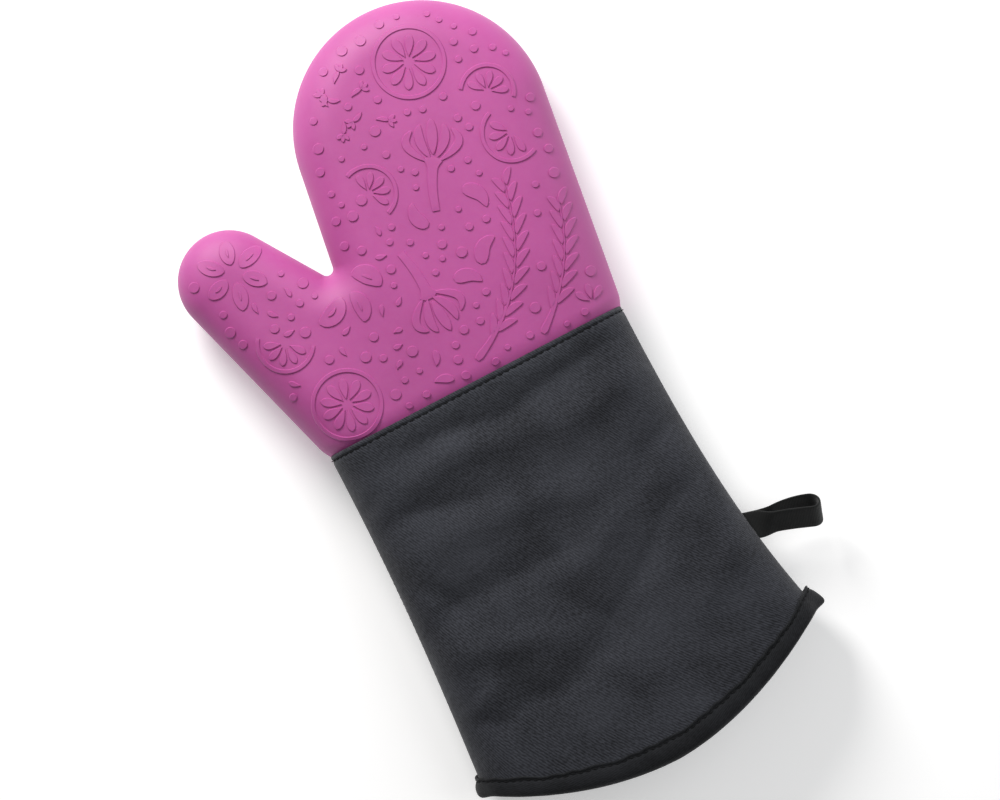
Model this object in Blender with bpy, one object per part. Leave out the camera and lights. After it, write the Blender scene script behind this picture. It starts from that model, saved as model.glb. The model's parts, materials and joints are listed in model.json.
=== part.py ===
"""Heat resistant glove: a hollow silicone hand, lined and padded, sewn to a padded fabric cuff.

It lies palm down. X runs across the hand with the thumb on -X, Y runs from the cuff's mouth to the
fingertips, and Z is up. The shapes are drawn with the wrist seam on Y = 0, and move_to_origin() then
puts the finished glove over the origin.
"""

import math

import bmesh
import bpy
from mathutils import Vector

MM = 0.001

# Hand, seen from above: a belt of straight runs round these circles, as (x, y, radius). A negative
# radius is a hollow corner. The last two lie under the cuff and only close the outline.
DOME = (29.6 * MM, 112.0 * MM, 57.8 * MM)
CROTCH = (-37.7 * MM, 75.6 * MM, -3.2 * MM)
THUMB_TIP = (-79.0 * MM, 91.0 * MM, 23.0 * MM)
CORNER_RADIUS = 24 * MM
HAND_END_LEFT = (-37.5 * MM, -45 * MM, CORNER_RADIUS)
HAND_END_RIGHT = (42.4 * MM, -45 * MM, CORNER_RADIUS)
HAND_BELT = [HAND_END_RIGHT, DOME, CROTCH, THUMB_TIP, HAND_END_LEFT]

THICKNESS = 40 * MM  # whole glove at the wrist
EDGE_RADIUS = THICKNESS / 2
EDGE_STEPS = 4  # per quarter circle of the glove's rounded sides
TAPER = 0.00125 / MM  # share of its height that the hand loses per metre towards the fingertips
GAP = 0.3 * MM  # between pieces that touch on the real glove

# Layers of the hand, as depths below its outer surface.
SHELL_WALL = 2.0 * MM
FLANGE_START = -9.5 * MM  # rim of the silicone that the cuff is sewn over
FLANGE_END = 4 * MM
FLANGE_DEPTH = 1.8 * MM
FLANGE_WALL = 1.5 * MM
BATTING_START = FLANGE_END + GAP
LINING_DEPTH = 4.4 * MM
LINING = 0.7 * MM

# Cuff: a flared tube with a bowed hem. Its depths are below its own outer surface, which lies far
# enough in from the silicone's for the threads and the binding to be flush with the palm.
THREAD_RADIUS = 0.25 * MM
CUFF_INSET = GAP + 2 * THREAD_RADIUS
WRIST_HALF_WIDTH = 74.4 * MM
HEM_HALF_WIDTH = 84.5 * MM
FLARE_POWER = 2.4
WRIST_CENTRE = -1.7 * MM
HEM_CENTRE = 2.0 * MM
CENTRE_POWER = 4
SIDE_LENGTH = 160 * MM
HEM_BOW = 30 * MM  # how much longer the cuff is down its middle than at its right side
THUMB_SIDE_DROP = 6 * MM  # how much longer it is down its thumb side than its right side
HEM_EDGE_RADIUS = 15 * MM
HEM_DOME = 8 * MM  # how far the back stands up above the sides at the hem
FABRIC = 0.7 * MM
CUFF_BATTING_DEPTH = 1.0 * MM
CUFF_BATTING = 2.3 * MM
CUFF_LINING_DEPTH = LINING_DEPTH - CUFF_INSET
INNER_START = 0.065  # share of the way down where the padding starts, below the flange
PANEL_ROWS = (INNER_START, 0.2, 0.4, 0.6, 0.8, 0.92)
FLAT_STEPS = 12  # across the cuff's back and palm
SEAM_SLIT = 1.1 * MM  # between the two panels, where the side seam's thread runs

BINDING_TAPE = 0.9 * MM
BINDING_HEIGHT = 8 * MM
BINDING_RISE = GAP + BINDING_TAPE - CUFF_INSET  # the hem sits this much higher than the wrist
WRIST_STITCH = 3 * MM  # from the cuff's top edge to its row of stitches
HEM_STITCH = 1 * MM  # from the binding's edge to its row of stitches

# Hanging loop: a folded tape that swings where it leaves the side seam.
TAPE_WIDTH = 12 * MM
TAPE = 1.2 * MM
LOOP_LENGTH = 31 * MM
LOOP_TIP_RADIUS = 4.9 * MM
LOOP_SLIT_START = 6 * MM
LOOP_SLIT = 0.8 * MM
LOOP_DOWN = 0.72  # share of the way down the cuff's side
LOOP_CLEARANCE = 2.0 * MM
LOOP_LEAN = math.radians(-12)  # towards the hem, seen from above

ARC_STEP = math.radians(12)
BEYOND = 300 * MM  # size of the blocks that cut a layer

RIGHT_SIDE = (1, 0)
LEFT_SIDE = (-1, math.pi)


def clear_scene():
    for item in list(bpy.data.objects):
        bpy.data.objects.remove(item)


def collection(name):
    made = bpy.data.collections.new(name)
    bpy.context.scene.collection.children.link(made)
    return made


def material(name, colour, roughness):
    made = bpy.data.materials.new(name)
    made.use_nodes = True
    shader = made.node_tree.nodes["Principled BSDF"]
    shader.inputs["Base Color"].default_value = (*colour, 1)
    shader.inputs["Roughness"].default_value = roughness
    shader.inputs["Metallic"].default_value = 0
    return made


def mesh_object(name, mesh, group):
    made = bpy.data.objects.new(name, mesh)
    group.objects.link(made)
    return made


def finish(piece, finish_material, smooth=True):
    piece.data.materials.clear()
    piece.data.materials.append(finish_material)
    if smooth:
        piece.data.shade_smooth()
        piece.data.set_sharp_from_angle(angle=math.radians(40))
    return piece


# Outlines


def belt_outline(circles, inset=0.0):
    """Points round a belt of (x, y, radius) circles, counter-clockwise, moved in by inset."""
    count = len(circles)
    headings = []
    for index, (x, y, radius) in enumerate(circles):
        next_x, next_y, next_radius = circles[(index + 1) % count]
        run = math.hypot(next_x - x, next_y - y)
        turn = math.asin((radius - next_radius) / run)
        headings.append(math.atan2(next_y - y, next_x - x) + turn)
    points = []
    for index, (x, y, radius) in enumerate(circles):
        arrive = headings[index - 1] - math.pi / 2
        sweep = (headings[index] - headings[index - 1]) % math.tau
        if radius < 0:
            sweep -= math.tau
        steps = max(2, math.ceil(abs(sweep) / ARC_STEP))
        for step in range(steps + 1):
            angle = arrive + sweep * step / steps
            reach = radius - inset
            points.append((x + reach * math.cos(angle), y + reach * math.sin(angle)))
    return points


def outline_curve(name, outlines, half_height, round_edge, group):
    """A flat curve of closed outlines, thickened to half_height each way, with a bevelled edge."""
    curve = bpy.data.curves.new(name, "CURVE")
    curve.dimensions = "2D"
    curve.fill_mode = "BOTH"
    curve.extrude = half_height
    curve.bevel_depth = round_edge
    curve.bevel_resolution = EDGE_STEPS - 1
    for outline in outlines:
        spline = curve.splines.new("POLY")
        spline.points.add(len(outline) - 1)
        for point, (x, y) in zip(spline.points, outline):
            point.co = (x, y, 0, 1)
        spline.use_cyclic_u = True
    made = bpy.data.objects.new(name, curve)
    group.objects.link(made)
    return made


def curve_to_mesh(source, group):
    """The curve as one closed mesh, in place."""
    bpy.context.view_layer.update()
    evaluated = source.evaluated_get(bpy.context.evaluated_depsgraph_get())
    mesh = bpy.data.meshes.new_from_object(evaluated)
    shape = bmesh.new()
    shape.from_mesh(mesh)
    bmesh.ops.remove_doubles(shape, verts=shape.verts, dist=0.01 * MM)
    shape.to_mesh(mesh)
    shape.free()
    name, place = source.name, source.matrix_world.copy()
    bpy.data.objects.remove(source)
    made = mesh_object(name, mesh, group)
    made.matrix_world = place
    return made


# Solids of the hand: pillow-edged slabs cut from one another


def hand_slab(name, depth, group):
    """The whole hand's solid, with its surface moved in by depth."""
    core = belt_outline(HAND_BELT, EDGE_RADIUS)
    slab = outline_curve(name, [core], 0, EDGE_RADIUS - depth, group)
    slab.location.z = EDGE_RADIUS
    slab = curve_to_mesh(slab, group)
    slab.data.transform(slab.matrix_world)
    slab.matrix_world.identity()
    return slab


def block(name, low, high, group):
    shape = bmesh.new()
    bmesh.ops.create_cube(shape, size=1)
    mesh = bpy.data.meshes.new(name)
    size = Vector(high) - Vector(low)
    centre = (Vector(high) + Vector(low)) / 2
    bmesh.ops.scale(shape, vec=size, verts=shape.verts)
    bmesh.ops.translate(shape, vec=centre, verts=shape.verts)
    shape.to_mesh(mesh)
    shape.free()
    return mesh_object(name, mesh, group)


def combine(piece, other, operation):
    """Joins or cuts piece with other, which is used up."""
    modifier = piece.modifiers.new(operation.title(), "BOOLEAN")
    modifier.operation = operation
    modifier.object = other
    bpy.context.view_layer.update()
    evaluated = piece.evaluated_get(bpy.context.evaluated_depsgraph_get())
    mesh = bpy.data.meshes.new_from_object(evaluated)
    piece.modifiers.clear()
    piece.data = mesh
    bpy.data.objects.remove(other)
    return piece


def hand_layer(name, depth, wall, start, group, base=-BEYOND, top=BEYOND):
    """A wall of the hand, depth below its surface, kept above Y = start and between two heights."""
    layer = hand_slab(name, depth, group)
    combine(layer, hand_slab("hollow", depth + wall, group), "DIFFERENCE")
    keep = block("keep", (-BEYOND, start, base), (BEYOND, BEYOND, top), group)
    return combine(layer, keep, "INTERSECT")


def lower_the_fingers(piece):
    """Tapers the hand's height from the cuff to the fingertips, with the palm kept flat."""
    for vertex in piece.data.vertices:
        vertex.co.z *= 1 - TAPER * max(0, vertex.co.y - BATTING_START)
    return piece


def silicone_shell(group):
    shell = hand_layer("silicone_shell", 0, SHELL_WALL, 0, group)
    flange = hand_layer("flange", FLANGE_DEPTH, FLANGE_WALL, FLANGE_START, group)
    end = block("end", (-BEYOND, -BEYOND, -BEYOND), (BEYOND, FLANGE_END, BEYOND), group)
    combine(flange, end, "INTERSECT")
    combine(shell, flange, "UNION")
    return lower_the_fingers(shell)


def hand_panel(name, depth, wall, start, is_back, group):
    """The back or the palm half of the hand's lining or padding bag."""
    middle = EDGE_RADIUS
    heights = (middle + GAP / 2, BEYOND) if is_back else (-BEYOND, middle - GAP / 2)
    return lower_the_fingers(hand_layer(name, depth, wall, start, group, *heights))


# Solids of the cuff: walls between two grids of points


def mix(first, last, share):
    return first + (last - first) * share


def half_section(is_back):
    """Stations round half the cuff's section: (share of the flat's half width, edge angle)."""
    quarter = [math.pi / 2 * step / EDGE_STEPS for step in range(EDGE_STEPS + 1)]
    across = [mix(1, -1, step / FLAT_STEPS) for step in range(1, FLAT_STEPS)]
    stations = [(1, angle) for angle in quarter]
    stations += [(share, math.pi / 2) for share in across]
    stations += [(-1, math.pi / 2 + angle) for angle in quarter]
    if is_back:
        return stations
    return [(-share, angle + math.pi) for share, angle in stations]


def cuff_point(station, down, depth, past_hem=0.0):
    """A point of the cuff: down is 0 at the wrist and 1 at the hem, depth is below its surface."""
    share, angle = station
    half_width = mix(WRIST_HALF_WIDTH, HEM_HALF_WIDTH, down**FLARE_POWER)
    below_flange = max(0, down - INNER_START) / (1 - INNER_START)
    edge = mix(EDGE_RADIUS, HEM_EDGE_RADIUS, below_flange)
    reach = edge - CUFF_INSET - depth
    x = (half_width - edge) * share + reach * math.cos(angle)
    across = x / (half_width - CUFF_INSET - depth)
    z = edge + reach * math.sin(angle) + BINDING_RISE * below_flange
    if math.sin(angle) > 0:
        z += HEM_DOME * below_flange * (1 - across**2)
    length = SIDE_LENGTH + HEM_BOW * (1 - across**2) + THUMB_SIDE_DROP * max(0, -across) ** 2
    centre = mix(WRIST_CENTRE, HEM_CENTRE, down**CENTRE_POWER)
    return Vector((centre + x, -down * length - past_hem, z))


def grid_faces(shape, grid, is_ring):
    for upper, lower in zip(grid, grid[1:]):
        width = len(upper)
        for column in range(width if is_ring else width - 1):
            after = (column + 1) % width
            shape.faces.new((upper[column], lower[column], lower[after], upper[after]))


def wall(name, outer, inner, is_ring, group):
    """A closed wall between two grids of points, each row of which is open or a ring."""
    shape = bmesh.new()
    outer = [[shape.verts.new(point) for point in row] for row in outer]
    inner = [[shape.verts.new(point) for point in row] for row in inner]
    for grid in (outer, inner, (outer[0], inner[0]), (outer[-1], inner[-1])):
        grid_faces(shape, grid, is_ring)
    if not is_ring:
        for side in (0, -1):
            grid_faces(shape, ([row[side] for row in outer], [row[side] for row in inner]), False)
    bmesh.ops.recalc_face_normals(shape, faces=shape.faces)
    mesh = bpy.data.meshes.new(name)
    shape.to_mesh(mesh)
    shape.free()
    return mesh_object(name, mesh, group)


def cuff_panel(name, depth, thickness, start, is_back, group):
    """The back or the palm half of a layer of the cuff, stopping short of the side seams."""
    slit = Vector((0, 0, SEAM_SLIT / 2 if is_back else -SEAM_SLIT / 2))
    stations = half_section(is_back)
    grids = []
    for surface in (depth, depth + thickness):
        rows = []
        for down in (start, *[row for row in PANEL_ROWS if row > start], 1):
            row = [cuff_point(station, down, surface) for station in stations]
            row[0] += slit
            row[-1] += slit
            rows.append(row)
        grids.append(rows)
    return wall(name, *grids, False, group)


def ring_stations():
    return half_section(True)[:-1] + half_section(False)[:-1]


def hem_binding(group):
    """A tape folded round the hem: an outer leg, the fold and an inner leg."""
    top = 1 - BINDING_HEIGHT / SIDE_LENGTH
    inner_leg = CUFF_LINING_DEPTH + LINING + GAP
    grids = []
    for spread in (GAP + BINDING_TAPE, GAP):
        inside = inner_leg + spread - GAP
        profile = [(top, -spread, 0), (1, -spread, spread), (1, inside, spread), (top, inside, 0)]
        rows = []
        for down, depth, past_hem in profile:
            rows.append([cuff_point(station, down, depth, past_hem) for station in ring_stations()])
        grids.append(rows)
    return wall("hem_binding", *grids, True, group)


# Threads


def thread(name, points, is_ring, group):
    curve = bpy.data.curves.new(name, "CURVE")
    curve.dimensions = "3D"
    curve.bevel_depth = THREAD_RADIUS
    curve.bevel_resolution = 0
    curve.use_fill_caps = True
    spline = curve.splines.new("POLY")
    spline.points.add(len(points) - 1)
    for target, point in zip(spline.points, points):
        target.co = (*point, 1)
    spline.use_cyclic_u = is_ring
    made = bpy.data.objects.new(name, curve)
    group.objects.link(made)
    return made


def ring_thread(name, down, group):
    """A row of stitches round the cuff, lying on its fabric."""
    height = -(GAP + THREAD_RADIUS)
    points = [cuff_point(station, down, height) for station in ring_stations()]
    return thread(name, points, True, group)


def side_seam_thread(name, station, group):
    """The seam that joins the two panels down one side, in the slit between them."""
    steps = 12
    start = 4 * GAP / SIDE_LENGTH
    end = 1 - BINDING_HEIGHT / SIDE_LENGTH - start
    downs = [mix(start, end, step / steps) for step in range(steps + 1)]
    points = [cuff_point(station, down, FABRIC / 2) for down in downs]
    return thread(name, points, False, group)


# Hanging loop


def hanging_loop(group):
    """A flat tape folded on itself, on an empty at the seam that it swings about."""
    root_radius = TAPE + GAP / 2
    tip = (LOOP_LENGTH - LOOP_TIP_RADIUS, 0, LOOP_TIP_RADIUS)
    outer = belt_outline([(0, 0, root_radius), tip])
    hole = belt_outline([(LOOP_SLIT_START, 0, LOOP_SLIT), (*tip[:2], LOOP_TIP_RADIUS - TAPE)])
    loop = outline_curve("hanging_loop", [outer, hole], TAPE_WIDTH / 2, 0, group)
    loop = curve_to_mesh(loop, group)

    hinge = bpy.data.objects.new("loop_hinge", None)
    group.objects.link(hinge)
    hinge.location = cuff_point(RIGHT_SIDE, LOOP_DOWN, 0)
    hinge.location.x += LOOP_CLEARANCE + root_radius
    hinge.rotation_euler = (0, 0, LOOP_LEAN)
    loop.parent = hinge
    loop.rotation_euler = (math.radians(90), 0, 0)
    return loop, hinge


def move_to_origin(roots, pieces):
    """Puts the glove's box over the origin, standing on Z = 0."""
    bpy.context.view_layer.update()
    graph = bpy.context.evaluated_depsgraph_get()
    low = Vector((BEYOND,) * 3)
    high = -low
    for piece in pieces:
        evaluated = piece.evaluated_get(graph)
        for corner in evaluated.to_mesh().vertices:
            place = evaluated.matrix_world @ corner.co
            low = Vector(map(min, low, place))
            high = Vector(map(max, high, place))
    shift = Vector(((low.x + high.x) / 2, (low.y + high.y) / 2, low.z))
    for root in roots:
        root.location -= shift
    return shift


def build():
    clear_scene()
    group = collection("heat_resistant_glove")
    silicone = material("pink_silicone", (0.50, 0.09, 0.29), 0.5)
    twill = material("charcoal_twill", (0.045, 0.047, 0.056), 0.9)
    tape = material("black_tape", (0.014, 0.015, 0.017), 0.85)
    wadding = material("white_batting", (0.78, 0.77, 0.74), 1.0)
    cotton = material("grey_lining", (0.20, 0.20, 0.21), 0.95)
    yarn = material("dark_thread", (0.012, 0.012, 0.014), 0.7)

    pieces = [finish(silicone_shell(group), silicone)]
    hand_depth = SHELL_WALL + GAP
    hand_batting = LINING_DEPTH - GAP - hand_depth
    top_edge = GAP / SIDE_LENGTH
    for side, is_back in (("back", True), ("palm", False)):
        layers = [
            hand_panel(f"hand_batting_{side}", hand_depth, hand_batting, BATTING_START, is_back, group),
            hand_panel(f"hand_lining_{side}", LINING_DEPTH, LINING, FLANGE_START, is_back, group),
            cuff_panel(f"cuff_fabric_{side}", 0, FABRIC, top_edge, is_back, group),
            cuff_panel(
                f"cuff_batting_{side}", CUFF_BATTING_DEPTH, CUFF_BATTING, INNER_START, is_back, group
            ),
            cuff_panel(
                f"cuff_lining_{side}", CUFF_LINING_DEPTH, LINING, INNER_START, is_back, group
            ),
        ]
        for layer, layer_material in zip(layers, (wadding, cotton, twill, wadding, cotton)):
            pieces.append(finish(layer, layer_material))
    pieces.append(finish(hem_binding(group), tape))

    threads = [
        ring_thread("wrist_stitching", WRIST_STITCH / SIDE_LENGTH, group),
        ring_thread("hem_stitching", 1 - (BINDING_HEIGHT + HEM_STITCH) / SIDE_LENGTH, group),
        side_seam_thread("thumb_side_seam", LEFT_SIDE, group),
        side_seam_thread("loop_side_seam", RIGHT_SIDE, group),
    ]
    pieces += [finish(piece, yarn, smooth=False) for piece in threads]

    loop, hinge = hanging_loop(group)
    roots = [*pieces, hinge]
    pieces.append(finish(loop, tape))
    shift = move_to_origin(roots, pieces)
    print("moved by", [round(value * 1000, 3) for value in shift])
    print("loop hinge at", [round(value * 1000, 3) for value in hinge.location])


build()
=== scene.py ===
"""Looks of the heat resistant glove, built round its CAD frame.

Shapes are worked out in millimetres from the middle of the wrist seam: u runs across the hand away
from the thumb, v from the cuff to the fingertips, and z up. place() puts them in the frame.
"""

import json
import math
import random

import bpy
import numpy as np
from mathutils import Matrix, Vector, geometry


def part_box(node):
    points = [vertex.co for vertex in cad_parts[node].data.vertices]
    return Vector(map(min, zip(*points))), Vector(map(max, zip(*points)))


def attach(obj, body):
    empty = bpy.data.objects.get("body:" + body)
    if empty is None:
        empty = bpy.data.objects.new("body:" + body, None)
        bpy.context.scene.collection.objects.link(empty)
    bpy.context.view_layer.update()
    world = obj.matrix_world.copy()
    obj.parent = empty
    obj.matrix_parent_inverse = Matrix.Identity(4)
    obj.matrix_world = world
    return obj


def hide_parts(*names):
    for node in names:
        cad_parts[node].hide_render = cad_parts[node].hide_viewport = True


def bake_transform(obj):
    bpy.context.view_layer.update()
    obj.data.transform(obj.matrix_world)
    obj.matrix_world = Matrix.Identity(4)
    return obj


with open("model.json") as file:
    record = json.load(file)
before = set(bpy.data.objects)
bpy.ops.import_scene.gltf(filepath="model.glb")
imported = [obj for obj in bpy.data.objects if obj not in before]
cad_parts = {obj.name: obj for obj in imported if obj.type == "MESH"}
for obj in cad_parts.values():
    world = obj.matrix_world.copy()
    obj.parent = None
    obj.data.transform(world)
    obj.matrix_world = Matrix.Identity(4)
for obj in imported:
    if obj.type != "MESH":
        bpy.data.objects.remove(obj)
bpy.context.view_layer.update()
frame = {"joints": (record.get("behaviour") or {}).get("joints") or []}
MM = 0.001

# Where the middle of the wrist seam lies in the frame.
FLANGE_LENGTH = 9.5
WRIST_CENTRE = -1.7
SHELL_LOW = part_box("silicone_shell")[0]
STITCH_LOW, STITCH_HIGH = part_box("wrist_stitching")
WRIST_X = (STITCH_LOW.x + STITCH_HIGH.x) / 2 - WRIST_CENTRE * MM
ORIGIN = np.array((WRIST_X, SHELL_LOW.y + FLANGE_LENGTH * MM, SHELL_LOW.z))

# Hand, seen from above: straight runs round these circles, as (u, v, radius). A negative radius is
# a hollow corner. The first and last lie under the cuff.
DOME = (29.6, 112.0, 57.8)
CROTCH = (-37.7, 75.6, -3.2)
THUMB_TIP = (-79.0, 91.0, 23.0)
HAND_BELT = [(42.4, -45, 24), DOME, CROTCH, THUMB_TIP, (-37.5, -45, 24)]
TUCK = -9.0  # the silicone ends here, under the cuff
HALF_HEIGHT = 20.0
TAPER_START = 4.3  # from here to the fingertips the hand gets thinner
TAPER = 0.00125  # by this share for each millimetre
SIDE_ROUND = 19.0  # how far in from the outline the sides are rounded
CROWN = 0.90  # how full the back is, as a share of the half height
# Where it is fuller or lower than that: middle, spread and how much.
CROWN_PARTS = [
    ((24, 78), (58, 70), 0.15),  # palm
    ((-76, 88), (30, 42), -0.17),  # thumb
    ((-42, 48), (16, 30), -0.05),  # web
]
RELIEF_ROOM = 1.0  # left free under the palm for its relief
WALL = 2.0
PARTING_LINE = 0.25  # how far the moulding line stands out
WRIST_PINCH = 1.5
WRIST_FLATTENING = 0.09
SPACING = 1.6  # between points
LEAST_SWEEP_RADIUS = 18
FILL_PITCH = 2.6  # between points inside the outline

# Cuff: distances down it are from the wrist, depths are below its surface.
WRIST_HALF_WIDTH = 74.4
HEM_HALF_WIDTH = 86.2
FLARE_POWER = 2.4
HEM_CENTRE = 1.8
CENTRE_POWER = 4
SIDE_LENGTH = 160.0
HEM_BOW = 30.0  # how much longer the cuff is down its middle than at its sides
THUMB_SIDE_DROP = 6.0
LOOP_SIDE_RISE = 1.2
HEM_ROUND = 15.0
HEM_DOME = 8.0  # how far the back stands up above the sides at the hem
CUFF_INSET = 0.8
BINDING_RISE = 0.4
FLANGE_SHARE = 0.065  # of the cuff's length, over the silicone's rim
STITCH_DOWN = 2.2
SEAM_DIP = 0.9
QUILT_PITCH = 26
QUILTS_ROUND = 15
BAG_START = 10.4

# The cuff's cloth at the wrist, as (distance, depth): turned under, over the edge, and drawn in
# along the stitches. Below that it lies on an even grid, free to move down to the hem.
TURNED_EDGE = [(5.0, 1.9), (1.6, 1.8), (0.3, 1.4), (-0.2, 0.75), (0.0, 0.1), (0.55, -0.35)]
TURNED_EDGE += [(1.3, -0.5), (1.65, -0.3), (2.0, 0.0), (STITCH_DOWN, 0.15), (2.45, 0.0)]
TURNED_EDGE += [(3.0, -0.4), (4.4, -0.6)]
CLOTH_START = 7.5
CLOTH_END = SIDE_LENGTH - 6.0
CLOTH_PITCH = 2.5
CLOTH_DEPTH = -0.5
CLOTH_LENGTHENING = 1.06  # the cloth is cut longer and wider than its place
CLOTH_WIDENING = 1.012
CLOTH_REACH = 3.2  # no point moves further than this
CLOTH_SINK = 0.9  # or further than this towards the padding
CLOTH_LOWEST = 0.2
CLOTH_FRAMES = 24
CLOTH_SETTINGS = {"quality": 6, "mass": 0.3, "air_damping": 4, "vertex_group_mass": "sewn"}
CLOTH_SETTINGS |= {"tension_stiffness": 25, "compression_stiffness": 25, "shear_stiffness": 12}
CLOTH_SETTINGS |= {"bending_stiffness": 5, "use_pressure": True, "uniform_pressure_force": 2.2}

# Relief on the silicone.
RELIEF = 0.6
RELIEF_STEP = 0.35  # a detail on a shape is this much higher
RELIEF_EDGE = 0.35  # width of its sloping edge
RELIEF_FOOT = 0.06
RELIEF_ROOT = 0.4  # how far it reaches down into the silicone
RELIEF_END_DROP = 0.12
RELIEF_SEED = 11
RIND = 1.05  # half the width of a slice's rind
SEGMENT_SWEEP = 36
LEAFY_SHARE = 0.86
LEAF_PITCH = 7.4
LEAF_LEAN = math.radians(29)
LEAF_LENGTH = 8.0
LEAF_WIDTH = 3.5
SCATTER_GAP = 4.4
EDGE_MARGIN = 7

# Stitches and loop.
THREAD_RADIUS = 0.26
HEM_STITCH_UP = 7.2
HEM_STITCH_DEPTH = -0.6
LOOP_LENGTH = 29.8
LOOP_WIDTH = 12.8
LOOP_THICKNESS = 1.15
LOOP_LEAN = math.radians(-15.5)
LOOP_ROLL = math.radians(42)  # how far its strands turn on edge
LOOP_BURIED = -8.5  # where its ends lie inside the seam
LOOP_ROOT = 0.75  # half the gap between its strands at the seam
LOOP_TIP = 4.2  # and at its end

# Camera, floor and light.
VIEW_CENTRE = (4.3, -12.6)
VIEW_LEAN = math.radians(27.57)
VIEW_WIDTH = 450.0
VIEW_DISTANCE = 1900.0
SILHOUETTE_HEIGHT = 18.0
SENSOR_WIDTH = 36
FLOOR_REACH = 4000
WORLD_STRENGTH = 0.27
# Bearing in degrees from the view's right, reach, height and size in metres, power and colour.
LIGHTS = [
    ("key", 122, 0.78, 0.46, 0.4, 9.1, (1.0, 0.985, 0.97)),
    ("fill", 22, 1.05, 0.75, 1.5, 7.2, (0.97, 0.985, 1.0)),
]


def place(points):
    return np.asarray(points, float) * MM + ORIGIN


def smooth_step(value):
    value = np.clip(value, 0, 1)
    return value * value * (3 - 2 * value)


def lengths(vectors):
    return np.sqrt((vectors**2).sum(-1))


def unit(vectors):
    return vectors / np.maximum(lengths(vectors), 1e-9)[:, None]


def distances(points):
    """How far along a path each of its points is."""
    return np.concatenate([[0], np.cumsum(lengths(np.diff(points, axis=0)))])


def make_piece(name, points, faces, finish, coords=None, body="mitt"):
    """A smooth mesh from points in millimetres; coords are its flat coordinates, in metres."""
    mesh = bpy.data.meshes.new(name)
    mesh.from_pydata(place(points).tolist(), [], [tuple(map(int, face)) for face in faces])
    if coords is not None:
        layer = mesh.uv_layers.new(name="flat")
        corners = np.zeros(len(mesh.loops), np.int32)
        mesh.loops.foreach_get("vertex_index", corners)
        layer.data.foreach_set("uv", (np.asarray(coords)[corners] * MM).ravel())
    mesh.materials.append(finish)
    mesh.shade_smooth()
    made = bpy.data.objects.new(name, mesh)
    bpy.context.scene.collection.objects.link(made)
    if body:
        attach(made, body)
    return made


def grid_faces(rows, columns, closed=False, flip=False):
    """Quads over a grid whose points are numbered row by row; closed joins last column to first."""
    row, column = np.mgrid[0 : rows - 1, 0 : columns if closed else columns - 1]
    after = (column + 1) % columns
    corners = [row * columns + column, (row + 1) * columns + column]
    corners += [(row + 1) * columns + after, row * columns + after]
    faces = np.stack([part.ravel() for part in corners], 1)
    return faces[:, ::-1] if flip else faces


def end_faces(rows, columns, flip=False):
    """The two faces that close the ends of such a grid, when it is closed into a tube."""
    start = list(range(columns))
    end = [(rows - 1) * columns + corner for corner in reversed(start)]
    return [start[::-1], end[::-1]] if flip else [start, end]


# Materials


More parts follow.
